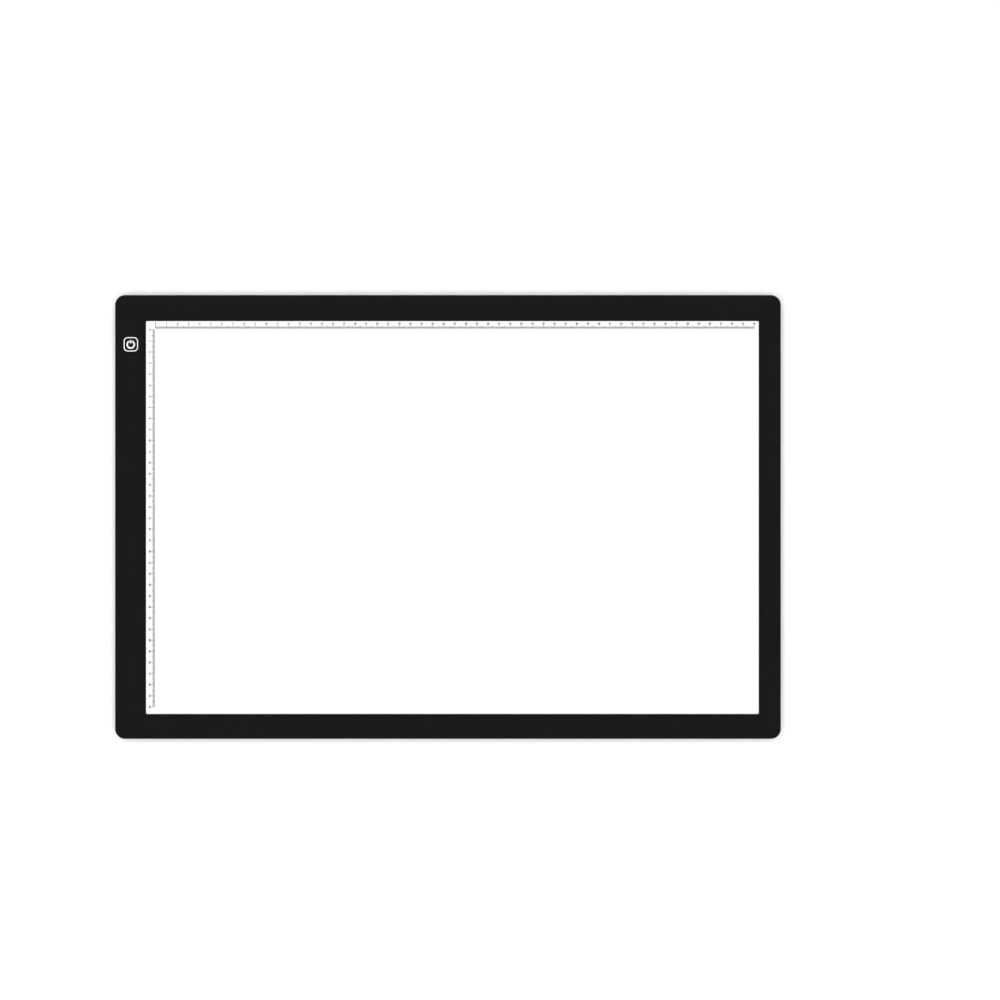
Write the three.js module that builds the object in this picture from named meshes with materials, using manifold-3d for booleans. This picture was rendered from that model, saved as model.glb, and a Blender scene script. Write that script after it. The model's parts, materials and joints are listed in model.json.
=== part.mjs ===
// A2 light pad: a flat, edge-lit light box for tracing, lying face up.
// Millimetres. +X right, +Y away from the person drawing, +Z up out of the lit face.
// The origin is the middle of the pad, in the plane that its rubber feet stand on.
// It is a bonded sandwich with no screws. From the bottom: feet, rear cover, reflector
// film, light guide, diffuser film, printed border film and clear front panel, inside a
// frame of four rails and four corner blocks.
import * as THREE from "three";
import { ConvexGeometry } from "three/addons/geometries/ConvexGeometry.js";
import { mergeVertices } from "three/addons/utils/BufferGeometryUtils.js";
import Module from "manifold-3d";

// ---- Driving dimensions ----

const WIDTH = 600;
const DEPTH = 400;
const CORNER_R = 9;
const BORDER = { left: 27.7, right: 19.8, rear: 23.4, front: 22.4 }; // black print round the window
const WINDOW_R = 1;

const FOOT = { length: 42, width: 8, height: 2, chamfer: 0.7 };
const FOOT_INSET = { side: 88, rear: 39, front: 30 }; // foot centre to the pad's edge

const GAP = 0.05; // air left between flat layers that lie on each other
const TAPE_T = 0.15;
const TAPE_MARGIN = 1; // panel tape, in from both faces of its rail
const COVER_TAPE_MARGIN = 0.3; // cover tape, in from both faces of the recess's ceiling
const COVER_T = 1.2;
const REFLECTOR_T = 0.2;
const GUIDE_T = 4;
const DIFFUSER_T = 0.2;
const BORDER_T = 0.15;
const PANEL_T = 2;

const LONG_WALL = 8; // front and rear rails, across
const SIDE_WALL = 6; // left and right rails, across
const REBATE_WALL = 2.8; // rail left outside the recess that takes the rear cover
const COVER_R = 2;
const COVER_FIT = 0.1; // clearance all round the rear cover
const CORNER_ARM = 18; // corner block, from the outer corner along each side
const SEAM = 0.12; // between a rail and a corner block
const TONGUE = { width: 2.4, height: 2.2, length: 6 };
const TONGUE_FIT = 0.2;

const GUIDE_LEFT = -276; // the guide stops short of the left rail, where the electronics are
const GUIDE_RIGHT = 292;
const GUIDE_EDGE = 10.5; // guide's lit edge to the pad's front or rear edge

const STRIP = { board: 1, height: 3.8, behind: 0.5, endInset: 2, joint: 2 };
const LED = { length: 3.5, height: 2.8, depth: 0.7, sunk: 0.1, perStrip: 27 };
const LINK = { length: 16, height: 3, t: 0.2, behind: 0.15 }; // copper, behind a side's two strips

const KEY = { x: -285.9, y: 155.8 }; // centre of the touch key
const BOARD = { left: -293.4, right: -277.4, front: 126, rear: 186, t: 1 };
const BOARD_NOTCH_FIT = { side: 0.3, back: 0.4 }; // round the jack, which sinks into the board
const BOARD_TAPE_INSET = { left: 5, right: 1, front: 3, rear: 16 };
const JACK = { y: 171, width: 5.6, height: 4, length: 10.8, recess: 0.2, boreR: 1.75, depth: 8.8 };
const JACK_EAR = { out: 1.8, length: 2, fromBack: 1, belowTop: 1.6 }; // locating ears on its sides
const JACK_PIN = { r: 0.65, rodR: 0.55, start: 0.8, shortOfBottom: 0.4, fit: 0.3 };
const JACK_LEAF = { start: 3, intoBore: 0.15, outOfBore: 0.25, height: 1, fit: 0.3 };
const BEZEL_FRONT = 162; // where the long left rail ends and the bezel round the jack begins
const BEZEL_FIT = { side: 0.15, below: 0.1 }; // round the jack's nose
const LEAD_R = 0.45;
const LEAD_X = { positive: -283.2, negative: -281.4 }; // where they run along the left side
const LEAD_RISE = 0.9; // above or below the strip's middle, where they meet it
const LEAD_END_GAP = 0.6;
const WIRE_GAP = 0.1; // air left round a wire
const SPRING = { r: 3.6, wireR: 0.2, turns: 3 };
const TOUCH_PLATE = { r: 5, t: 0.2 };

// Where the board's parts stand, and their sizes.
const CHIP = { width: 3.9, length: 4.9, height: 1.45, lift: 0.15, legs: 4, pitch: 1.27 };
const LEG = { width: 0.4, t: 0.25, shankZ: 0.6, shank: 1, shin: 0.5, shinAt: 0.65 };
const TOUCH_CHIP_AT = { x: -285.5, y: 142 };
const DRIVER_CHIP_AT = { x: -282.5, y: 174 };
const INDUCTOR = { x: -283, y: 166, size: 6, cornerR: 0.8, height: 2.8, dishR: 2, dishDepth: 0.5 };
const DIODE = { x: -290.8, y: 146, width: 2.6, length: 4.3, height: 2.1 };
const CAPACITOR = { x: -290.8, inputY: 183.5, outputY: 134, width: 1.6, length: 3.2, height: 1.6 };

// ---- Heights of the layers, worked up from the feet ----

const COVER_Z = FOOT.height;
const COVER_TOP = COVER_Z + COVER_T;
const REFLECTOR_Z = COVER_TOP + GAP;
const GUIDE_Z = REFLECTOR_Z + REFLECTOR_T + GAP;
const DIFFUSER_Z = GUIDE_Z + GUIDE_T + GAP;
const BORDER_Z = DIFFUSER_Z + DIFFUSER_T + GAP;
const PANEL_Z = BORDER_Z + BORDER_T + GAP;
const FRAME_TOP = BORDER_Z - GAP - TAPE_T - GAP;
const REBATE_Z = COVER_TOP + GAP + TAPE_T + GAP; // ceiling of the rear cover's recess
const BOARD_Z = REBATE_Z - GAP;
const BOARD_TOP = BOARD_Z + BOARD.t;
const JACK_Z = REBATE_Z; // underside of the jack, which sinks into a notch in the board
const GUIDE_MIDDLE_Z = GUIDE_Z + GUIDE_T / 2;

// ---- Materials ----

const clearAcrylic = { color: 0xf4f8f8, roughness: 0.05, transparent: true, opacity: 0.3 };
const blackFilm = { color: 0x1c1c1c, roughness: 0.35 };
const whiteFilm = { color: 0xfbfbfb, roughness: 0.6 };
const guideAcrylic = { color: 0xeaf4f2, roughness: 0.1 };
const paleShell = { color: 0xececee, roughness: 0.5 };
const greySheet = { color: 0xdcdcdf, roughness: 0.55 };
const blackRubber = { color: 0x141414, roughness: 0.85 };
const paperTape = { color: 0xd9d4c4, roughness: 0.9 };
const circuitBoard = { color: 0x1d5b37, roughness: 0.45 };
const whiteBoard = { color: 0xf2f2ee, roughness: 0.45 };
const blackMoulding = { color: 0x101012, roughness: 0.45 };
const tinned = { color: 0xc9cbcc, roughness: 0.25, metalness: 1 };
const copper = { color: 0xb87445, roughness: 0.35, metalness: 1 };
const ceramic = { color: 0xa2784a, roughness: 0.5 };
const redSleeve = { color: 0xa81c1c, roughness: 0.5 };
const blackSleeve = { color: 0x17171a, roughness: 0.5 };

// ---- Joining and cutting ----

const wasm = await Module();
wasm.setup();

function solid(geometry) {
  const bare = geometry.index ? geometry.toNonIndexed() : geometry.clone();
  bare.deleteAttribute("normal");
  bare.deleteAttribute("uv");
  const merged = mergeVertices(bare, 1e-4);
  const vertProperties = merged.attributes.position.array;
  const triVerts = new Uint32Array(merged.index.array);
  return new wasm.Manifold(new wasm.Mesh({ numProp: 3, vertProperties, triVerts }));
}

function geometryOf(manifold) {
  const mesh = manifold.getMesh();
  const indexed = new THREE.BufferGeometry();
  indexed.setAttribute("position", new THREE.BufferAttribute(mesh.vertProperties, 3));
  indexed.setIndex(new THREE.BufferAttribute(mesh.triVerts, 1));
  const flat = indexed.toNonIndexed();
  flat.computeVertexNormals();
  return flat;
}

const OVERRUN = 1; // how far a cutter or a joined piece runs past a face

function united(geometries) {
  const parts = geometries.map(solid);
  return geometryOf(parts.reduce((whole, part) => whole.add(part)));
}

function cutBy(geometry, cutters) {
  const parts = cutters.map(solid);
  return geometryOf(parts.reduce((whole, cutter) => whole.subtract(cutter), solid(geometry)));
}

// ---- Shapes ----

const pad = new THREE.Group();

function addMesh(name, geometry, material, parent = pad) {
  const mesh = new THREE.Mesh(geometry, new THREE.MeshStandardMaterial(material));
  mesh.name = name;
  parent.add(mesh);
  return mesh;
}

// A box between its limits along each axis.
function block(x0, x1, y0, y1, z0, z1) {
  const box = new THREE.BoxGeometry(x1 - x0, y1 - y0, z1 - z0);
  return box.translate((x0 + x1) / 2, (y0 + y1) / 2, (z0 + z1) / 2);
}

// A box standing on z = 0, centred on the Z axis.
function standing(width, length, height) {
  return block(-width / 2, width / 2, -length / 2, length / 2, 0, height);
}

function roundedRect(x0, x1, y0, y1, r, shape = new THREE.Shape()) {
  shape.moveTo(x0 + r, y0);
  shape.lineTo(x1 - r, y0);
  shape.absarc(x1 - r, y0 + r, r, -Math.PI / 2, 0);
  shape.lineTo(x1, y1 - r);
  shape.absarc(x1 - r, y1 - r, r, 0, Math.PI / 2);
  shape.lineTo(x0 + r, y1);
  shape.absarc(x0 + r, y1 - r, r, Math.PI / 2, Math.PI);
  shape.lineTo(x0, y0 + r);
  shape.absarc(x0 + r, y0 + r, r, Math.PI, Math.PI * 1.5);
  return shape;
}

function plate(shape, z, depth, curveSegments = 12) {
  const flat = new THREE.ExtrudeGeometry(shape, { depth, bevelEnabled: false, curveSegments });
  return flat.translate(0, 0, z);
}

// A round bar along +X, from x0 to x1.
function barAlongX(x0, x1, y, z, r, sides = 24) {
  const bar = new THREE.CylinderGeometry(r, r, x1 - x0, sides);
  return bar.rotateZ(Math.PI / 2).translate((x0 + x1) / 2, y, z);
}

// A wire along a curve, with an even number of sides.
function wire(curve, r, steps, sides) {
  const section = new THREE.Shape().absarc(0, 0, r, 0, 2 * Math.PI);
  return new THREE.ExtrudeGeometry(section, { extrudePath: curve, steps, curveSegments: sides / 2 });
}

// ---- The lit sandwich ----

function outline() {
  return roundedRect(-WIDTH / 2, WIDTH / 2, -DEPTH / 2, DEPTH / 2, CORNER_R);
}

function addFrontPanel() {
  addMesh("front_panel", plate(outline(), PANEL_Z, PANEL_T), clearAcrylic);
}

function addBorderFilm() {
  const film = outline();
  const x0 = -WIDTH / 2 + BORDER.left;
  const x1 = WIDTH / 2 - BORDER.right;
  const y0 = -DEPTH / 2 + BORDER.front;
  const y1 = DEPTH / 2 - BORDER.rear;
  film.holes.push(roundedRect(x0, x1, y0, y1, WINDOW_R, new THREE.Path()));
  addMesh("border_film", plate(film, BORDER_Z, BORDER_T), blackFilm);
}

function addLightLayers() {
  const edge = DEPTH / 2 - GUIDE_EDGE;
  const layer = (z, t) => block(GUIDE_LEFT, GUIDE_RIGHT, -edge, edge, z, z + t);
  addMesh("diffuser_film", layer(DIFFUSER_Z, DIFFUSER_T), whiteFilm);
  addMesh("light_guide", layer(GUIDE_Z, GUIDE_T), guideAcrylic);
  addMesh("reflector_film", layer(REFLECTOR_Z, REFLECTOR_T), whiteFilm);
}

function addRearCover() {
  const x = WIDTH / 2 - REBATE_WALL - COVER_FIT;
  const y = DEPTH / 2 - REBATE_WALL - COVER_FIT;
  const sheet = roundedRect(-x, x, -y, y, COVER_R);
  addMesh("rear_cover", plate(sheet, COVER_Z, COVER_T, 6), greySheet);
}

// ---- Frame ----
// Each side is drawn as the front one, running along +X with its outer face at -Y, in a
// group that is turned into place.

const SIDES = [
  { name: "front", turn: 0, run: WIDTH, out: DEPTH / 2, wall: LONG_WALL, nextWall: SIDE_WALL },
  { name: "right", turn: 1, run: DEPTH, out: WIDTH / 2, wall: SIDE_WALL, nextWall: LONG_WALL },
  { name: "rear", turn: 2, run: WIDTH, out: DEPTH / 2, wall: LONG_WALL, nextWall: SIDE_WALL },
  { name: "left", turn: 3, run: DEPTH, out: WIDTH / 2, wall: SIDE_WALL, nextWall: LONG_WALL },
];
const CORNER_NAMES = ["front_right", "rear_right", "rear_left", "front_left"];
const TONGUE_Z = (REBATE_Z + FRAME_TOP) / 2;

// The space of the recess along one side, cut from a rail.
function rebateAlong(side) {
  const y = -side.out + REBATE_WALL;
  return block(-side.run, side.run, y, y + side.wall, 0, REBATE_Z);
}

// A tongue on the middle of a wall, or with fit the pocket that takes it.
function tongue(x0, x1, yMiddle, fit = 0) {
  const w = TONGUE.width / 2 + fit;
  const h = TONGUE.height / 2 + fit;
  return block(x0, x1, yMiddle - w, yMiddle + w, TONGUE_Z - h, TONGUE_Z + h);
}

function wallGeometry(side, start, end) {
  return block(start, end, -side.out, -side.out + side.wall, COVER_Z, FRAME_TOP);
}

// A straight rail, with a pocket in each end for the tongue of the piece beside it.
function railGeometry(side, start, end) {
  const middle = -side.out + side.wall / 2;
  const reach = TONGUE.length + TONGUE_FIT;
  const startPocket = tongue(start - OVERRUN, start + reach, middle, TONGUE_FIT);
  const endPocket = tongue(end - reach, end + OVERRUN, middle, TONGUE_FIT);
  return cutBy(wallGeometry(side, start, end), [rebateAlong(side), startPocket, endPocket]);
}

// The corner block at the far end of a side: an L whose arms are the two walls.
function cornerGeometry(side) {
  const x = side.run / 2;
  const y = -side.out;
  const shape = new THREE.Shape();
  shape.moveTo(x - CORNER_ARM, y);
  shape.lineTo(x - CORNER_R, y);
  shape.absarc(x - CORNER_R, y + CORNER_R, CORNER_R, -Math.PI / 2, 0);
  shape.lineTo(x, y + CORNER_ARM);
  shape.lineTo(x - side.nextWall, y + CORNER_ARM);
  shape.lineTo(x - side.nextWall, y + side.wall);
  shape.lineTo(x - CORNER_ARM, y + side.wall);
  const reach = 2 * CORNER_ARM; // well past the ends of the arms
  const x1 = x - REBATE_WALL;
  const y0 = y + REBATE_WALL;
  const recess = roundedRect(x1 - reach, x1, y0, y0 + reach, COVER_R + COVER_FIT);
  const wall = plate(shape, COVER_Z, FRAME_TOP - COVER_Z);
  const arms = cutBy(wall, [plate(recess, 0, REBATE_Z, 6)]);
  const [alongEnd, upEnd] = [x - CORNER_ARM, -y - CORNER_ARM];
  const along = tongue(alongEnd - TONGUE.length, alongEnd + OVERRUN, y + side.wall / 2);
  const up = tongue(upEnd - TONGUE.length, upEnd + OVERRUN, 0);
  up.rotateZ(-Math.PI / 2).translate(x - side.nextWall / 2, 0, 0);
  return united([arms, along, up]);
}

// A tape along the middle of a side, from inset past its outer face. Tapes on the long sides
// run almost to the corners, and those on the short sides stop between them.
function tapeAlong(side, z, inset, width) {
  const y = -side.out + inset;
  const end = side.run / 2 - (side.wall === LONG_WALL ? CORNER_R : LONG_WALL + 1);
  return block(-end, end, y, y + width, z, z + TAPE_T);
}

function addSide(side, index) {
  const group = new THREE.Group();
  group.rotation.z = (side.turn * Math.PI) / 2;
  pad.add(group);
  const end = side.run / 2 - CORNER_ARM - SEAM;
  if (side.name === "left") {
    // The group's +X is the pad's -Y here, so the bezel is at the start of this side.
    const split = -BEZEL_FRONT;
    addMesh("jack_bezel", bezelGeometry(side, -end, split - SEAM), paleShell, group);
    addMesh("frame_left", railGeometry(side, split, end), paleShell, group);
  } else {
    addMesh("frame_" + side.name, railGeometry(side, -end, end), paleShell, group);
  }
  addMesh("corner_" + CORNER_NAMES[index], cornerGeometry(side), paleShell, group);
  const onRail = side.wall - 2 * TAPE_MARGIN;
  const panelTape = tapeAlong(side, FRAME_TOP + GAP, TAPE_MARGIN, onRail);
  const inRecess = side.wall - REBATE_WALL - 2 * COVER_TAPE_MARGIN;
  const coverTape = tapeAlong(side, COVER_TOP + GAP, REBATE_WALL + COVER_TAPE_MARGIN, inRecess);
  addMesh("panel_tape_" + side.name, panelTape, paperTape, group);
  addMesh("cover_tape_" + side.name, coverTape, paperTape, group);
}

// ---- Power jack, let into the left side ----

// The short length of side wall round the jack, with a notch from above for its nose.
function bezelGeometry(side, start, end) {
  const middle = -side.out + side.wall / 2;
  const half = JACK.width / 2 + BEZEL_FIT.side;
  const [low, high] = [JACK_Z - BEZEL_FIT.below, FRAME_TOP + OVERRUN];
  const notch = block(-JACK.y - half, -JACK.y + half, -side.out - OVERRUN, 0, low, high);
  const pocket = tongue(start - OVERRUN, start + TONGUE.length + TONGUE_FIT, middle, TONGUE_FIT);
  const body = cutBy(wallGeometry(side, start, end), [rebateAlong(side), notch, pocket]);
  return united([body, tongue(end - OVERRUN, end + TONGUE.length, middle)]);
}

function addJack() {
  const nose = -WIDTH / 2 + JACK.recess;
  const back = nose + JACK.length;
  const bottom = nose + JACK.depth;
  const top = JACK_Z + JACK.height;
  const z = JACK_Z + JACK.height / 2;
  const half = JACK.width / 2;
  const earHalf = half + JACK_EAR.out;
  const earBack = back - JACK_EAR.fromBack;
  const [earLow, earHigh] = [BOARD_TOP + GAP, top - JACK_EAR.belowTop];
  const [y0, y1] = [JACK.y - earHalf, JACK.y + earHalf];
  const ears = block(earBack - JACK_EAR.length, earBack, y0, y1, earLow, earHigh);
  const body = united([block(nose, back, JACK.y - half, JACK.y + half, JACK_Z, top), ears]);
  const behind = back + OVERRUN; // the pin and the leaf come out of the back
  // A leaf springs into the side of the bore, in a slot that leaves it room.
  const leaf = (fit) => {
    const inner = JACK.y + JACK.boreR - JACK_LEAF.intoBore - fit;
    const outer = JACK.y + JACK.boreR + JACK_LEAF.outOfBore + fit;
    const halfHeight = JACK_LEAF.height / 2 + fit;
    return block(nose + JACK_LEAF.start - fit, behind, inner, outer, z - halfHeight, z + halfHeight);
  };
  const cutters = [
    barAlongX(nose - OVERRUN, bottom, JACK.y, z, JACK.boreR),
    barAlongX(bottom - OVERRUN, behind, JACK.y, z, JACK_PIN.r + JACK_PIN.fit, 16),
    leaf(JACK_LEAF.fit),
  ];
  addMesh("jack_housing", cutBy(body, cutters), blackMoulding);
  const [pinFront, pinBack] = [nose + JACK_PIN.start, bottom - JACK_PIN.shortOfBottom];
  const pinRod = barAlongX(pinBack - OVERRUN, behind, JACK.y, z, JACK_PIN.rodR, 16);
  const pinBarrel = barAlongX(pinFront, pinBack, JACK.y, z, JACK_PIN.r, 16);
  addMesh("jack_pin", united([pinRod, pinBarrel]), tinned);
  addMesh("jack_contact", leaf(0), tinned);
}

// ---- Control board under the touch key ----

function addControlBoard() {
  const notch = {
    x: -WIDTH / 2 + JACK.recess + JACK.length + BOARD_NOTCH_FIT.back,
    half: JACK.width / 2 + BOARD_NOTCH_FIT.side,
  };
  const shape = new THREE.Shape();
  shape.moveTo(BOARD.left, BOARD.front);
  shape.lineTo(BOARD.right, BOARD.front);
  shape.lineTo(BOARD.right, BOARD.rear);
  shape.lineTo(BOARD.left, BOARD.rear);
  shape.lineTo(BOARD.left, JACK.y + notch.half);
  shape.lineTo(notch.x, JACK.y + notch.half);
  shape.lineTo(notch.x, JACK.y - notch.half);
  shape.lineTo(BOARD.left, JACK.y - notch.half);
  addMesh("control_board", plate(shape, BOARD_Z, BOARD.t), circuitBoard);
  const [x0, x1] = [BOARD.left + BOARD_TAPE_INSET.left, BOARD.right - BOARD_TAPE_INSET.right];
  const [y0, y1] = [BOARD.front + BOARD_TAPE_INSET.front, BOARD.rear - BOARD_TAPE_INSET.rear];
  addMesh("board_tape", block(x0, x1, y0, y1, COVER_TOP + GAP, BOARD_Z - GAP), paperTape);
}

// A chip with gull-wing legs along its two long sides, standing on the board.
function chipGeometry() {
  const body = standing(CHIP.width, CHIP.length, CHIP.height).translate(0, 0, CHIP.lift);
  const pieces = [body];
  for (let i = 0; i < CHIP.legs; i += 1) {
    const y = (i - (CHIP.legs - 1) / 2) * CHIP.pitch;
    for (const side of [-1, 1]) {
      const x = (side * CHIP.width) / 2;
      const shank = standing(LEG.shank, LEG.width, LEG.t).translate(x, y, LEG.shankZ);
      const shin = standing(LEG.shin, LEG.width, LEG.shankZ + LEG.t);
      shin.translate(x + side * LEG.shinAt, y, 0);
      pieces.push(shank, shin);
    }
  }
  return united(pieces);
}

function inductorGeometry() {
  const half = INDUCTOR.size / 2;
  const core = plate(roundedRect(-half, half, -half, half, INDUCTOR.cornerR), 0, INDUCTOR.height, 4);
  const dish = new THREE.CylinderGeometry(INDUCTOR.dishR, INDUCTOR.dishR, 2 * INDUCTOR.dishDepth, 24);
  dish.rotateX(Math.PI / 2).translate(0, 0, INDUCTOR.height);
  return cutBy(core, [dish]);
}

function addOnBoard(name, geometry, material, x, y) {
  addMesh(name, geometry, material).position.set(x, y, BOARD_TOP + GAP);
}

function addBoardParts() {
  addOnBoard("touch_chip", chipGeometry(), blackMoulding, TOUCH_CHIP_AT.x, TOUCH_CHIP_AT.y);
  addOnBoard("driver_chip", chipGeometry(), blackMoulding, DRIVER_CHIP_AT.x, DRIVER_CHIP_AT.y);
  addOnBoard("boost_inductor", inductorGeometry(), blackMoulding, INDUCTOR.x, INDUCTOR.y);
  const diode = standing(DIODE.width, DIODE.length, DIODE.height);
  addOnBoard("power_diode", diode, blackMoulding, DIODE.x, DIODE.y);
  for (const [use, y] of [["input", CAPACITOR.inputY], ["output", CAPACITOR.outputY]]) {
    const capacitor = standing(CAPACITOR.width, CAPACITOR.length, CAPACITOR.height);
    addOnBoard(`${use}_capacitor`, capacitor, ceramic, CAPACITOR.x, y);
  }
}

// The key does not move: a finger on the panel is sensed by this sprung plate under it.
class Coil extends THREE.Curve {
  constructor(r, turns, z0, z1) {
    super();
    Object.assign(this, { r, turns, z0, z1 });
  }
  getPoint(t, target = new THREE.Vector3()) {
    const angle = 2 * Math.PI * this.turns * t;
    const z = this.z0 + (this.z1 - this.z0) * t;
    return target.set(this.r * Math.cos(angle), this.r * Math.sin(angle), z);
  }
}

function addTouchSensor() {
  const under = BORDER_Z - GAP - TOUCH_PLATE.t;
  const disc = new THREE.CylinderGeometry(TOUCH_PLATE.r, TOUCH_PLATE.r, TOUCH_PLATE.t, 32);
  const touchPlate = addMesh("touch_plate", disc.rotateX(Math.PI / 2), tinned);
  touchPlate.position.set(KEY.x, KEY.y, under + TOUCH_PLATE.t / 2);
  const clear = SPRING.wireR + WIRE_GAP;
  const coil = new Coil(SPRING.r, SPRING.turns, BOARD_TOP + clear, under - clear);
  const steps = 18 * SPRING.turns;
  const spring = addMesh("touch_spring", wire(coil, SPRING.wireR, steps, 6), tinned);
  spring.position.set(KEY.x, KEY.y, 0);
}

// ---- Light strips ----

// A strip stands on edge against a long rail, with its LEDs facing the guide. Drawn for the
// front rail. The rear one is the same piece turned round.
function stripGeometry(x0, x1) {
  const back = -DEPTH / 2 + LONG_WALL + STRIP.behind;
  const face = back + STRIP.board;
  const [low, high] = [GUIDE_MIDDLE_Z - STRIP.height / 2, GUIDE_MIDDLE_Z + STRIP.height / 2];
  const pieces = [block(x0, x1, back, face, low, high)];
  const pitch = (x1 - x0) / LED.perStrip;
  const [halfLength, halfHeight] = [LED.length / 2, LED.height / 2];
  for (let i = 0; i < LED.perStrip; i += 1) {
    const led = block(-halfLength, halfLength, -LED.sunk, LED.depth, -halfHeight, halfHeight);
    pieces.push(led.translate(x0 + (i + 0.5) * pitch, face, GUIDE_MIDDLE_Z));
  }
  return united(pieces);
}

function addStrips() {
  const x0 = GUIDE_LEFT + STRIP.endInset;
  const x1 = GUIDE_RIGHT - STRIP.endInset;
  const middle = (x0 + x1) / 2;
  const linkBack = -DEPTH / 2 + LONG_WALL + LINK.behind;
  for (const side of [SIDES[0], SIDES[2]]) {
    const group = new THREE.Group();
    group.rotation.z = (side.turn * Math.PI) / 2;
    pad.add(group);
    const sign = side.name === "rear" ? -1 : 1;
    const spans = {
      left: [x0, middle - STRIP.joint / 2],
      right: [middle + STRIP.joint / 2, x1],
    };
    for (const [hand, ends] of Object.entries(spans)) {
      const [start, end] = ends.map((x) => x * sign).sort((a, b) => a - b);
      addMesh(`led_strip_${side.name}_${hand}`, stripGeometry(start, end), whiteBoard, group);
    }
    const link = block(-LINK.length / 2, LINK.length / 2, 0, LINK.t, -LINK.height / 2, LINK.height / 2);
    link.translate(middle * sign, linkBack, GUIDE_MIDDLE_Z);
    addMesh("strip_link_" + side.name, link, copper, group);
  }
}

// ---- Leads from the board to the light strips ----

function addLead(name, points, material) {
  const curve = new THREE.CatmullRomCurve3(points.map((p) => new THREE.Vector3(...p)));
  addMesh(name, wire(curve, LEAD_R, 6 * points.length, 8), material);
}

function addLeads() {
  const onBoard = BOARD_TOP + LEAD_R + WIRE_GAP;
  const end = GUIDE_LEFT + STRIP.endInset - LEAD_END_GAP;
  const inStrip = DEPTH / 2 - LONG_WALL - STRIP.behind - STRIP.board / 2;
  const routes = [
    ["positive", redSleeve, LEAD_X.positive, GUIDE_MIDDLE_Z + LEAD_RISE],
    ["negative", blackSleeve, LEAD_X.negative, GUIDE_MIDDLE_Z - LEAD_RISE],
  ];
  for (const [pole, sleeve, x, z] of routes) {
    const front = [
      [x, 131, onBoard],
      [x, 118, onBoard],
      [x, 60, onBoard],
      [x, -80, onBoard],
      [x, -165, onBoard],
      [x, -178, z],
      [x + 0.6, -186, z],
      [x + 3, -inStrip + 0.8, z],
      [end - 2, -inStrip, z],
      [end, -inStrip, z],
    ];
    addLead("lead_front_" + pole, front, sleeve);
    const rear = [
      [x, 181, onBoard],
      [x, 186.5, onBoard],
      [x + 1, 189.3, (onBoard + z) / 2],
      [x + 3.3, inStrip - 0.3, z],
      [end - 2, inStrip, z],
      [end, inStrip, z],
    ];
    addLead("lead_rear_" + pole, rear, sleeve);
  }
}

// ---- Feet ----

// A self-adhesive rubber strip with its lower edges chamfered.
function footGeometry() {
  const points = [];
  const levels = [
    [0, FOOT.chamfer],
    [FOOT.chamfer, 0],
    [FOOT.height, 0],
  ];
  for (const [z, inset] of levels) {
    const x = FOOT.length / 2 - inset;
    const y = FOOT.width / 2 - inset;
    for (const [sx, sy] of [[1, 1], [-1, 1], [-1, -1], [1, -1]]) {
      points.push(new THREE.Vector3(sx * x, sy * y, z));
    }
  }
  return new ConvexGeometry(points);
}

function addFeet() {
  const x = WIDTH / 2 - FOOT_INSET.side;
  const rows = { rear: DEPTH / 2 - FOOT_INSET.rear, front: -DEPTH / 2 + FOOT_INSET.front };
  for (const [row, y] of Object.entries(rows)) {
    for (const [hand, s] of Object.entries({ left: -1, right: 1 })) {
      addMesh(`foot_${row}_${hand}`, footGeometry(), blackRubber).position.set(s * x, y, 0);
    }
  }
}

addFeet();
addRearCover();
SIDES.forEach(addSide);
addLightLayers();
addStrips();
addControlBoard();
addBoardParts();
addTouchSensor();
addJack();
addLeads();
addBorderFilm();
addFrontPanel();

export default pad;
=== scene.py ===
"""The looks of an A2 light pad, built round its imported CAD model.

Everything is in metres, in the CAD model's frame: the pad lies face up on the floor, with +X to
the right, +Y away from the person drawing and +Z up. Places come from the CAD nodes' boxes.
"""

import json
import math

import bmesh
import bpy
from mathutils import Matrix, Vector


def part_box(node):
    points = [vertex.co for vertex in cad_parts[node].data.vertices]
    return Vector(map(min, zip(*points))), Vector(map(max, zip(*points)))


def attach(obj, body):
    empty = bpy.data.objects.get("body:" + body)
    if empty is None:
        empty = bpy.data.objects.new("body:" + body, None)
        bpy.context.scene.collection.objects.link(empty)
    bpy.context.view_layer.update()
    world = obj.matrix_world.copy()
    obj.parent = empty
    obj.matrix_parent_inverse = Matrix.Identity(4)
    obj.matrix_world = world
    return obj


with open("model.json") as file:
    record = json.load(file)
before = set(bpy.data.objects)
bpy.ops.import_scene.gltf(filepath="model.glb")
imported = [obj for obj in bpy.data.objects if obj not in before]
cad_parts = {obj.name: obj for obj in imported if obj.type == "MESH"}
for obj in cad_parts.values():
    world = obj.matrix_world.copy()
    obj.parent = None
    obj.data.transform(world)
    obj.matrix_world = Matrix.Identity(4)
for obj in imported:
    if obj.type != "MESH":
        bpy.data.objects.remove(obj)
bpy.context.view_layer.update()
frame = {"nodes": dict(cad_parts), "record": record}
nodes = frame["nodes"]

MM = 0.001

# The window, whose edges are the inner edges of the border film, as insets from the pad's edges.
WINDOW_INSET = {"left": 27.7 * MM, "right": 19.8 * MM, "rear": 23.4 * MM, "front": 22.4 * MM}

# The printed centimetre scale.
SCALE_ACROSS_CM = 54
SCALE_DOWN_CM = 34
SCALE_INSET = {"x": 7.63 * MM, "y": 6.53 * MM}  # from the window's left and rear edges to the two lines
SCALE_START = {"x": 0.85 * MM, "y": 1.3 * MM}  # the zero marks, past the corner where the lines would cross
LINE_WIDTH = 0.55 * MM
TICK_WIDTH = 0.42 * MM
TICK_LENGTHS = {"mm": 1.2 * MM, "half": 1.8 * MM, "cm": 2.3 * MM}
NUMBER_HEIGHT = 1.5 * MM
NUMBER_CENTRE = 4.3 * MM  # from the line to the middle of a number
NUMBER_WEIGHT = 0.12 * MM  # how far the digits' outlines are moved out
DIGIT_HEIGHT = 0.68  # the built-in font's digits, as a share of its size

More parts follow.
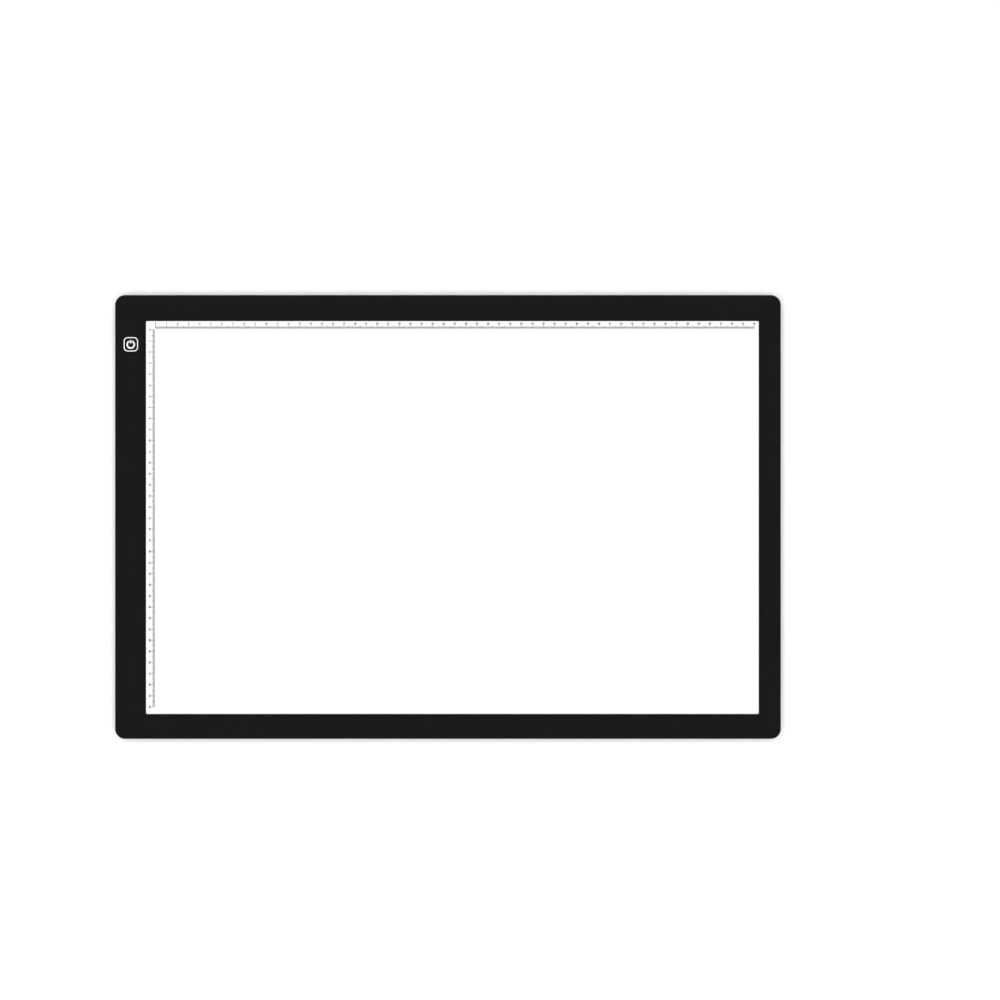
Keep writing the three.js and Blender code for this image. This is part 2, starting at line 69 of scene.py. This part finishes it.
# The touch key's printed mark.
KEY_INSET = {"left": 14.0 * MM, "rear": 44.3 * MM}
KEY_SIZE = 12.9 * MM
KEY_RADIUS = 3.8 * MM
KEY_STROKE = 0.8 * MM
POWER_OFFSET = Vector((-0.1 * MM, -0.2 * MM))
POWER_RADIUS = 3.2 * MM  # to the middle of the stroke
POWER_STROKE = 1.25 * MM
POWER_GAP = math.radians(24)  # from the ring's top to where its stroke ends, each way
POWER_BAR = {"low": 1.0 * MM, "high": 4.1 * MM, "width": 1.15 * MM}

INK = 0.03 * MM  # print thickness
UNDER_PANEL = 0.01 * MM  # air between the print and the clear panel over it

# Camera: straight above, with the pad left of and below the middle of the view.
VIEW_WIDTH = 0.9013  # at the height of the pad's face
CAMERA_LENS = 100.0
CAMERA_OFFSET = Vector((46.9 * MM, 15.3 * MM))

# Wide soft lamps all round, at one height and none overhead: each (azimuth in degrees, strength).
LAMPS = ((-40, 1.24), (50, 1.08), (140, 1.0), (-130, 1.12))
LAMP_HEIGHT = math.radians(52)
LAMP_WIDTH = math.radians(32)

# The studio's brightness by the height, from 0 at the horizon to 1 overhead, of the way looked.
SKY = ((0.0, 1.04), (0.13, 0.97), (0.22, 0.28), (0.34, 0.14), (0.5, 0.1), (0.85, 0.07), (1.0, 0.06))
FLOOR_HALF = 30.0
FLOOR_DROP = 0.1 * MM  # below the feet, so that the two faces don't coincide

# Edge roundings, each (width, segments), for the nodes whose names start so.
EDGES = {
    "front_panel": (0.25 * MM, 2),
    "rear_cover": (0.15 * MM, 2),
    "frame_": (0.12 * MM, 2),
    "corner_": (0.12 * MM, 2),
    "jack_bezel": (0.12 * MM, 2),
    "jack_housing": (0.08 * MM, 2),
    "foot_": (0.25 * MM, 3),
}
SMOOTHED = ("lead_", "touch_", "jack_")  # nodes whose round faces are only shaded smoothly
SAME_PLACE = 0.001 * MM  # points nearer to each other than this are one

panel_low, panel_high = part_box("front_panel")
film_low, film_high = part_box("border_film")
WINDOW_LOW = Vector((film_low.x + WINDOW_INSET["left"], film_low.y + WINDOW_INSET["front"]))
WINDOW_HIGH = Vector((film_high.x - WINDOW_INSET["right"], film_high.y - WINDOW_INSET["rear"]))
PRINT_Z = panel_low.z - UNDER_PANEL - INK  # the underside of the print, which is under the clear panel


# ---- Camera, light and floor ----


def make_camera():
    data = bpy.data.cameras.new("camera")
    data.lens = CAMERA_LENS
    data.clip_end = 100
    camera = bpy.data.objects.new("camera", data)
    distance = VIEW_WIDTH * CAMERA_LENS / data.sensor_width
    camera.location = (CAMERA_OFFSET.x, CAMERA_OFFSET.y, panel_high.z + distance)
    bpy.context.collection.objects.link(camera)
    bpy.context.scene.camera = camera


def make_lights():
    for azimuth, strength in LAMPS:
        name = f"lamp_{azimuth}"
        data = bpy.data.lights.new(name, "SUN")
        data.energy = strength
        data.angle = LAMP_WIDTH
        lamp = bpy.data.objects.new(name, data)
        around = math.radians(azimuth)
        out = math.cos(LAMP_HEIGHT)
        towards = Vector((math.sin(around) * out, -math.cos(around) * out, math.sin(LAMP_HEIGHT)))
        lamp.rotation_euler = (-towards).to_track_quat("-Z", "Y").to_euler()
        lamp.visible_transmission = False  # or the clear panel would pass its light twice
        bpy.context.collection.objects.link(lamp)


def make_world():
    """A studio that is pale round the horizon and dim above, so that the glossy black border stays dark."""
    world = bpy.data.worlds.new("studio")
    world.use_nodes = True
    tree = world.node_tree
    tree.nodes.clear()
    direction = add(tree, "TexCoord").outputs["Generated"]
    height = add(tree, "SeparateXYZ", Vector=direction).outputs["Z"]
    ramp = add(tree, "ValToRGB", Fac=height)
    set_ramp(ramp, [(at, (level, level, level * 1.01, 1)) for at, level in SKY])
    background = add(tree, "Background", Color=ramp.outputs["Color"], Strength=1.0)
    output = add(tree, "OutputWorld")
    tree.links.new(background.outputs[0], output.inputs["Surface"])
    bpy.context.scene.world = world


def make_floor():
    shape = bmesh.new()
    add_quad(shape, -FLOOR_HALF, FLOOR_HALF, -FLOOR_HALF, FLOOR_HALF)
    mesh = bpy.data.meshes.new("studio_floor")
    shape.to_mesh(mesh)
    shape.free()
    floor = bpy.data.objects.new("studio_floor", mesh)
    floor.location.z = -FLOOR_DROP
    bpy.context.collection.objects.link(floor)
    mesh.materials.append(floor_material())


# ---- Material building ----


def give(tree, socket, value):
    """Links a socket to follow, or sets a plain value."""
    if isinstance(value, bpy.types.NodeSocket):
        tree.links.new(value, socket)
    else:
        socket.default_value = value


def add(tree, kind, settings=None, **inputs):
    """A shader node with its settings and inputs. In an input's name, _ stands for a space."""
    made = tree.nodes.new("ShaderNode" + kind)
    for key, value in (settings or {}).items():
        setattr(made, key, value)
    for key, value in inputs.items():
        give(tree, made.inputs[key.replace("_", " ")], value)
    return made


def set_ramp(ramp, stops):
    """Sets a colour ramp's stops, each (position, colour)."""
    elements = ramp.color_ramp.elements
    while len(elements) > 1:
        elements.remove(elements[-1])
    elements[0].position, elements[0].color = stops[0]
    for position, colour in stops[1:]:
        elements.new(position).color = colour


def grey(level):
    return (level, level, level, 1)


def bluish(level):
    return (level, level, level * 1.012, 1)


class Surface:
    """A material with one Principled shader, and short ways to make what feeds it."""

    def __init__(self, name, **values):
        self.material = bpy.data.materials.new(name)
        self.material.use_nodes = True
        self.tree = self.material.node_tree
        self.shader = self.tree.nodes["Principled BSDF"]
        self.place = self.add("TexCoord").outputs["Object"]
        self.feed(**values)

    def add(self, kind, settings=None, **inputs):
        return add(self.tree, kind, settings, **inputs)

    def feed(self, **inputs):
        """Gives the shader's inputs their values. In an input's name, _ stands for a space."""
        for key, value in inputs.items():
            give(self.tree, self.shader.inputs[key.replace("_", " ")], value)

    def math(self, operation, *values):
        made = self.add("Math", {"operation": operation})
        for socket, value in zip(made.inputs, values):
            give(self.tree, socket, value)
        return made.outputs[0]

    def mix(self, factor, first, second):
        """Mixes two colours. The node's sockets go by number, because its kinds of mix share their names."""
        made = self.add("Mix", {"data_type": "RGBA"})
        for index, value in ((0, factor), (6, first), (7, second)):
            give(self.tree, made.inputs[index], value)
        return made.outputs[2]

    def stretched(self, *scale):
        """The surface's place with each axis scaled, to draw a pattern out along the small ones."""
        return self.add("Mapping", Vector=self.place, Scale=scale).outputs[0]

    def noise(self, per_metre, detail=3.0, roughness=0.55, place=None):
        made = self.add(
            "TexNoise", Vector=place or self.place, Scale=per_metre, Detail=detail, Roughness=roughness
        )
        return made.outputs["Fac"]

    def cells(self, per_metre, randomness):
        """The distance to the middle of the nearest cell."""
        made = self.add(
            "TexVoronoi", {"feature": "F1"}, Vector=self.place, Scale=per_metre, Randomness=randomness
        )
        return made.outputs["Distance"]

    def spread(self, value, low, high):
        """Maps 0.3 to 0.7, where noise mostly lies, on to low to high."""
        made = self.add("MapRange", Value=value, From_Min=0.3, From_Max=0.7, To_Min=low, To_Max=high)
        return made.outputs[0]

    def bump(self, height, depth):
        made = self.add("Bump", Height=height, Distance=depth, Strength=1.0)
        self.feed(Normal=made.outputs[0])


def floor_material():
    floor = Surface("studio_floor", Roughness=0.9, Specular_IOR_Level=0.1)
    floor.feed(Base_Color=floor.mix(floor.noise(3.0), grey(0.84), grey(0.86)))
    return floor.material


# ---- Materials of the lit sandwich ----


def clear_acrylic():
    """Polished cast acrylic: hardly tinted, with the faint long waves that cast sheet has."""
    acrylic = Surface("clear_acrylic", Roughness=0.02, IOR=1.49, Transmission_Weight=1.0)
    acrylic.feed(Base_Color=(0.985, 0.994, 0.992, 1))
    acrylic.bump(acrylic.noise(14.0, detail=1.0), 0.02 * MM)
    return acrylic.material


def black_print():
    """Screen-printed black ink, bonded to the panel and so without a gloss of its own."""
    ink = Surface("black_print", Specular_IOR_Level=0.0)
    mesh_marks = ink.noise(2600.0, detail=2.0)
    ink.feed(
        Base_Color=ink.mix(mesh_marks, grey(0.0036), grey(0.0056)),
        Roughness=ink.spread(ink.noise(22.0), 0.42, 0.55),
    )
    ink.bump(mesh_marks, 0.003 * MM)
    return ink.material


def lit_film():
    """The diffuser, lit from below: almost even, a little brighter along the two lit edges."""
    film = Surface("lit_film", Roughness=0.7, Emission_Strength=0.835)
    off_middle = film.math("ABSOLUTE", film.add("SeparateXYZ", Vector=film.place).outputs["Y"])
    towards_edge = film.add("MapRange", Value=off_middle, From_Min=0.0, From_Max=0.18, To_Min=0.0, To_Max=1.0)
    cloud = film.noise(9.0, detail=2.0)
    fine = film.noise(900.0, detail=2.0)
    middle = film.mix(cloud, (0.985, 0.975, 0.975, 1), (0.995, 0.985, 0.985, 1))
    glow = film.mix(towards_edge.outputs[0], middle, grey(1.0))
    film.feed(
        Emission_Color=film.mix(film.spread(fine, 0.0, 0.1), glow, grey(0.9)),
        Base_Color=film.mix(fine, grey(0.12), grey(0.16)),
    )
    return film.material


def white_film():
    film = Surface("white_film", Roughness=0.4)
    fibre = film.noise(700.0)
    film.feed(Base_Color=film.mix(fibre, grey(0.84), grey(0.92)))
    film.bump(fibre, 0.01 * MM)
    return film.material


def guide_acrylic():
    """The light guide: clear, with white dots printed in a staggered grid on its underside."""
    guide = Surface("guide_acrylic", Roughness=0.06, IOR=1.49, Transmission_Weight=0.35)
    dot = guide.math("LESS_THAN", guide.cells(400.0, 0.25), 0.28)
    guide.feed(Base_Color=guide.mix(dot, (0.86, 0.93, 0.92, 1), grey(0.95)))
    guide.bump(dot, 0.01 * MM)
    return guide.material


def white_ink():
    """Opaque white print with a fine grain, and a faint painted glow in its own colour that makes it
    brighter.
    """
    # The emission is a painted glow that lifts the print's brightness: the print gives no light of its own.
    ink = Surface("white_ink", Roughness=0.5, Emission_Strength=0.08)
    tone = ink.mix(ink.noise(2400.0), grey(0.64), grey(0.72))
    ink.feed(Base_Color=tone, Emission_Color=tone)
    return ink.material


def scale_ink():
    """The scale's dark grey print."""
    ink = Surface("scale_ink", Roughness=0.55)
    ink.feed(Base_Color=ink.mix(ink.noise(3200.0), grey(0.012), grey(0.03)))
    return ink.material


# ---- Materials of the shell ----


def shell_plastic(name, low, high, grain_per_metre, depth):
    """Pale moulded plastic: a fine spark-eroded grain, slight mottling and a satin sheen."""
    plastic = Surface(name, Specular_IOR_Level=0.45)
    grain = plastic.noise(grain_per_metre, detail=4.0, roughness=0.6)
    plastic.feed(
        Base_Color=plastic.mix(plastic.noise(12.0), bluish(low), bluish(high)),
        Roughness=plastic.spread(grain, 0.38, 0.55),
    )
    plastic.bump(grain, depth)
    return plastic.material


def black_rubber():
    """Dense cellular rubber: pitted skin, dusty grey on its high spots."""
    rubber = Surface("black_rubber", Specular_IOR_Level=0.35)
    grain = rubber.noise(1500.0, detail=4.0)
    dust = rubber.spread(rubber.noise(160.0), 0.0, 1.0)
    rubber.feed(
        Base_Color=rubber.mix(dust, grey(0.007), grey(0.02)),
        Roughness=rubber.spread(grain, 0.62, 0.85),
    )
    pits = rubber.math("ADD", rubber.math("MULTIPLY", grain, 0.6), rubber.cells(2200.0, 1.0))
    rubber.bump(pits, 0.03 * MM)
    return rubber.material


def black_moulding():
    moulding = Surface("black_moulding", Specular_IOR_Level=0.45)
    grain = moulding.noise(2500.0)
    moulding.feed(
        Base_Color=moulding.mix(grain, grey(0.008), grey(0.016)),
        Roughness=moulding.spread(grain, 0.35, 0.5),
    )
    moulding.bump(grain, 0.006 * MM)
    return moulding.material


# ---- Materials inside ----


def metal(name, low, high, roughness):
    """Plated or rolled metal with a fine drawn grain along X."""
    plated = Surface(name, Metallic=1.0)
    grain = plated.noise(4000.0, place=plated.stretched(0.08, 1, 1))
    plated.feed(
        Base_Color=plated.mix(grain, low, high),
        Roughness=plated.spread(grain, roughness * 0.7, roughness * 1.3),
    )
    return plated.material


def circuit_board():
    """Green solder mask over tracks that show a shade lighter."""
    board = Surface("circuit_board", Roughness=0.35)
    tracks = board.add(
        "TexBrick",
        Vector=board.place,
        Scale=1.0,
        Brick_Width=4.3 * MM,
        Row_Height=1.1 * MM,
        Mortar_Size=0.16 * MM,
        Mortar_Smooth=0.1,
        Color1=(0.006, 0.085, 0.028, 1),
        Color2=(0.009, 0.11, 0.038, 1),
        Mortar=(0.02, 0.2, 0.07, 1),
    )
    weave = board.spread(board.noise(1800.0), 0.0, 0.25)
    board.feed(Base_Color=board.mix(weave, tracks.outputs["Color"], (0.003, 0.05, 0.018, 1)))
    board.bump(tracks.outputs["Fac"], 0.02 * MM)
    return board.material


def led_board():
    """White solder mask, and a yellow phosphor window on each LED package's face."""
    board = Surface("led_board", Roughness=0.4)
    split = board.add("SeparateXYZ", Vector=board.place)
    low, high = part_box("led_strip_rear_left")
    face = low.y  # the packages' faces, towards the guide: every strip's are this far off the middle
    on_face = board.math("LESS_THAN", board.math("ABSOLUTE", split.outputs["Y"]), face + 0.05 * MM)
    from_middle = board.math("SUBTRACT", split.outputs["Z"], (low.z + high.z) / 2)
    in_height = board.math("LESS_THAN", board.math("ABSOLUTE", from_middle), 1.0 * MM)
    mask = board.mix(board.noise(1200.0), (0.8, 0.8, 0.77, 1), (0.88, 0.88, 0.86, 1))
    window = board.math("MULTIPLY", on_face, in_height)
    board.feed(Base_Color=board.mix(window, mask, (0.9, 0.66, 0.12, 1)))
    return board.material


def mounting_tape():
    """Double-sided tissue tape: cream, with soft fibres."""
    tape = Surface("mounting_tape", Roughness=0.8, Specular_IOR_Level=0.2)
    fibres = tape.noise(1500.0, detail=5.0, place=tape.stretched(1, 0.2, 1))
    tape.feed(Base_Color=tape.mix(fibres, (0.6, 0.56, 0.45, 1), (0.78, 0.75, 0.66, 1)))
    tape.bump(fibres, 0.02 * MM)
    return tape.material


def sleeve(name, low, high):
    vinyl = Surface(name, Roughness=0.45)
    grain = vinyl.noise(1200.0)
    vinyl.feed(Base_Color=vinyl.mix(grain, low, high))
    vinyl.bump(grain, 0.006 * MM)
    return vinyl.material


def capacitor_ceramic():
    """Brown ceramic, tinned at the two ends of its length, which lies along Y."""
    body = Surface("capacitor_ceramic", Roughness=0.4)
    ceramic = body.mix(body.noise(1500.0), (0.3, 0.15, 0.05, 1), (0.42, 0.23, 0.09, 1))
    along = body.add("SeparateXYZ", Vector=body.add("TexCoord").outputs["Generated"]).outputs["Y"]
    off_middle = body.math("ABSOLUTE", body.math("SUBTRACT", along, 0.5))
    tinned = body.math("GREATER_THAN", off_middle, 0.34)
    body.feed(Base_Color=body.mix(tinned, ceramic, grey(0.6)), Metallic=tinned)
    return body.material


def dress_nodes():
    """Gives each CAD node the material of its record slot."""
    made = {
        "clear_acrylic": clear_acrylic(),
        "black_print_film": black_print(),
        "lit_diffuser": lit_film(),
        "reflector_white": white_film(),
        "guide_acrylic": guide_acrylic(),
        "grey_sheet": shell_plastic("grey_sheet", 0.69, 0.72, 1400.0, 0.02 * MM),
        "pale_shell": shell_plastic("pale_shell", 0.82, 0.85, 2600.0, 0.012 * MM),
        "black_rubber": black_rubber(),
        "mounting_tape": mounting_tape(),
        "circuit_board_green": circuit_board(),
        "led_board_white": led_board(),
        "black_moulding": black_moulding(),
        "tinned_metal": metal("tinned_metal", grey(0.5), grey(0.66), 0.28),
        "capacitor_ceramic": capacitor_ceramic(),
        "copper_link": metal("copper_link", (0.62, 0.26, 0.12, 1), (0.8, 0.38, 0.2, 1), 0.35),
        "red_sleeve": sleeve("red_sleeve", (0.36, 0.01, 0.01, 1), (0.46, 0.02, 0.015, 1)),
        "black_sleeve": sleeve("black_sleeve", grey(0.008), grey(0.016)),
    }
    for entry in frame["record"]["subparts"]:
        slots = nodes[entry["node"]].material_slots
        slots[0].material = made[entry["material_slot"]]
    # Lamps light the print and the films straight through the clear panel.
    nodes["front_panel"].visible_shadow = False


# ---- Edges ----


def smooth_by_angle():
    """A modifier's node group that shades smoothly, with edges over 30 degrees sharp."""
    group = bpy.data.node_groups.new("smooth_by_angle", "GeometryNodeTree")
    group.interface.new_socket("Geometry", in_out="INPUT", socket_type="NodeSocketGeometry")
    group.interface.new_socket("Geometry", in_out="OUTPUT", socket_type="NodeSocketGeometry")
    start = group.nodes.new("NodeGroupInput")
    end = group.nodes.new("NodeGroupOutput")
    faces = group.nodes.new("GeometryNodeSetShadeSmooth")
    edges = group.nodes.new("GeometryNodeSetShadeSmooth")
    edges.domain = "EDGE"
    edges.inputs["Shade Smooth"].default_value = False
    angle = group.nodes.new("GeometryNodeInputMeshEdgeAngle")
    over = group.nodes.new("FunctionNodeCompare")
    over.inputs[1].default_value = math.radians(30)
    link = group.links.new
    link(start.outputs[0], faces.inputs["Geometry"])
    link(faces.outputs[0], edges.inputs["Geometry"])
    link(angle.outputs["Unsigned Angle"], over.inputs[0])
    link(over.outputs[0], edges.inputs["Selection"])
    link(edges.outputs[0], end.inputs[0])
    return group


def round_edges(piece, width, segments, smoothing):
    """Rounds sharp edges by width (none at 0) and shades gentle ones smoothly."""
    imported = piece.data.attributes.get("custom_normal")
    if imported:
        piece.data.attributes.remove(imported)
    weld = piece.modifiers.new("weld", "WELD")
    weld.merge_threshold = SAME_PLACE
    smooth = piece.modifiers.new("smooth", "NODES")
    smooth.node_group = smoothing
    if width:
        bevel = piece.modifiers.new("bevel", "BEVEL")
        bevel.width = width
        bevel.segments = segments
        bevel.limit_method = "ANGLE"
        bevel.angle_limit = math.radians(35)
        bevel.harden_normals = True


def finish_edges():
    smoothing = smooth_by_angle()
    for name, piece in nodes.items():
        rounding = [values for start, values in EDGES.items() if name.startswith(start)]
        if rounding:
            width, segments = rounding[0]
            round_edges(piece, width, segments, smoothing)
        elif name.startswith(SMOOTHED):
            round_edges(piece, 0, 0, smoothing)


# ---- Printed scale ----


def piece_from(name, shape, material):
    """A new piece from a bmesh, riding on the pad."""
    mesh = bpy.data.meshes.new(name)
    bmesh.ops.recalc_face_normals(shape, faces=shape.faces)
    shape.to_mesh(mesh)
    shape.free()
    mesh.materials.append(material)
    piece = bpy.data.objects.new(name, mesh)
    bpy.context.collection.objects.link(piece)
    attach(piece, "root")
    return piece


def thicken(shape, thickness):
    """Turns flat faces into closed solids that stand up from them."""
    bmesh.ops.remove_doubles(shape, verts=shape.verts, dist=SAME_PLACE)
    faces = shape.faces[:]
    outline = [edge for edge in shape.edges if edge.is_boundary]
    above = {vert: shape.verts.new(vert.co + Vector((0, 0, thickness))) for vert in shape.verts[:]}
    for face in faces:
        shape.faces.new([above[vert] for vert in face.verts])
    for edge in outline:
        start, end = edge.verts
        shape.faces.new((start, end, above[end], above[start]))


def add_quad(shape, x0, x1, y0, y1):
    corners = ((x0, y0), (x1, y0), (x1, y1), (x0, y1))
    shape.faces.new([shape.verts.new((x, y, 0)) for x, y in corners])


def comb(centimetres, way):
    """A line along X, towards way (1 or -1), with a tick up at each millimetre.

    It is flat faces that meet edge to edge: one at each tick's foot, and one from tick to tick.
    """
    shape = bmesh.new()
    half = TICK_WIDTH / 2
    for mark in range(centimetres * 10 + 1):
        kind = "cm" if mark % 10 == 0 else "half" if mark % 5 == 0 else "mm"
        x = way * mark * MM
        add_quad(shape, x - half, x + half, 0, LINE_WIDTH)
        add_quad(shape, x - half, x + half, LINE_WIDTH, LINE_WIDTH + TICK_LENGTHS[kind])
        if mark < centimetres * 10:
            near, far = sorted((x + way * half, x + way * (MM - half)))
            add_quad(shape, near, far, 0, LINE_WIDTH)
    thicken(shape, INK)
    return shape


def numbers(centimetres, way):
    """The numbers of a scale, each over its tick, in one mesh."""
    joined = bmesh.new()
    for value in range(centimetres + 1):
        curve = bpy.data.curves.new("number", "FONT")
        curve.body = str(value)
        curve.size = NUMBER_HEIGHT / DIGIT_HEIGHT
        curve.align_x = "CENTER"
        curve.offset = NUMBER_WEIGHT
        curve.extrude = INK / 2
        curve.resolution_u = 3
        text = bpy.data.objects.new("number", curve)
        bpy.context.collection.objects.link(text)
        bpy.context.view_layer.update()
        mesh = bpy.data.meshes.new_from_object(text.evaluated_get(bpy.context.evaluated_depsgraph_get()))
        x = way * value * 10 * MM
        mesh.transform(Matrix.Translation((x, NUMBER_CENTRE - NUMBER_HEIGHT / 2, INK / 2)))
        joined.from_mesh(mesh)
        bpy.data.objects.remove(text)
        bpy.data.curves.remove(curve)
        bpy.data.meshes.remove(mesh)
    bmesh.ops.remove_doubles(joined, verts=joined.verts, dist=SAME_PLACE)
    return joined


def make_scales():
    ink = scale_ink()
    x = WINDOW_LOW.x + SCALE_INSET["x"]
    y = WINDOW_HIGH.y - SCALE_INSET["y"]
    across = Matrix.Translation((x + SCALE_START["x"], y, PRINT_Z))
    # Turned a quarter to the left: the marks run down the pad, and their ticks point left.
    down = Matrix.Translation((x, y - SCALE_START["y"], PRINT_Z)) @ Matrix.Rotation(math.pi / 2, 4, "Z")
    for name, centimetres, way, place in (
        ("across", SCALE_ACROSS_CM, 1, across),
        ("down", SCALE_DOWN_CM, -1, down),
    ):
        for part, shape in (("ticks", comb(centimetres, way)), ("numbers", numbers(centimetres, way))):
            bmesh.ops.transform(shape, matrix=place, verts=shape.verts)
            piece_from(f"scale_{name}_{part}", shape, ink)


# ---- Touch key's mark ----


def arc(centre, radius, start, end, steps):
    turn = (end - start) / steps
    angles = [start + turn * i for i in range(steps + 1)]
    return [Vector((centre.x + radius * math.cos(a), centre.y + radius * math.sin(a))) for a in angles]


def rounded_square(centre, size, radius, steps=12):
    half = size / 2 - radius
    points = []
    for quarter in range(4):
        start = quarter * math.pi / 2
        sx = 1 if quarter in (0, 3) else -1
        sy = 1 if quarter in (0, 1) else -1
        points += arc(centre + Vector((sx * half, sy * half)), radius, start, start + math.pi / 2, steps)
    return points


def band(shape, outer, inner, closed):
    """Quads between two outlines with the same number of points."""
    outer_verts = [shape.verts.new((p.x, p.y, 0)) for p in outer]
    inner_verts = [shape.verts.new((p.x, p.y, 0)) for p in inner]
    last = len(outer) if closed else len(outer) - 1
    for i in range(last):
        j = (i + 1) % len(outer)
        shape.faces.new((outer_verts[i], outer_verts[j], inner_verts[j], inner_verts[i]))


def make_key_mark():
    centre = Vector((film_low.x + KEY_INSET["left"], film_high.y - KEY_INSET["rear"]))
    shape = bmesh.new()
    inner_size = KEY_SIZE - 2 * KEY_STROKE
    outer = rounded_square(centre, KEY_SIZE, KEY_RADIUS)
    band(shape, outer, rounded_square(centre, inner_size, KEY_RADIUS - KEY_STROKE), closed=True)
    middle = centre + POWER_OFFSET
    start = math.pi / 2 + POWER_GAP
    end = math.pi * 2.5 - POWER_GAP
    half = POWER_STROKE / 2
    band(
        shape,
        arc(middle, POWER_RADIUS + half, start, end, 48),
        arc(middle, POWER_RADIUS - half, start, end, 48),
        closed=False,
    )
    r = POWER_BAR["width"] / 2
    low = middle + Vector((0, POWER_BAR["low"] + r))
    high = middle + Vector((0, POWER_BAR["high"] - r))
    capsule = arc(high, r, 0, math.pi, 12) + arc(low, r, math.pi, 2 * math.pi, 12)
    shape.faces.new([shape.verts.new((p.x, p.y, 0)) for p in capsule])
    thicken(shape, INK)
    bmesh.ops.translate(shape, verts=shape.verts, vec=(0, 0, PRINT_Z))
    piece_from("key_mark", shape, white_ink())


make_camera()
make_world()
make_lights()
make_floor()
dress_nodes()
finish_edges()
make_scales()
make_key_mark()
bpy.context.scene.view_settings.view_transform = "Standard"
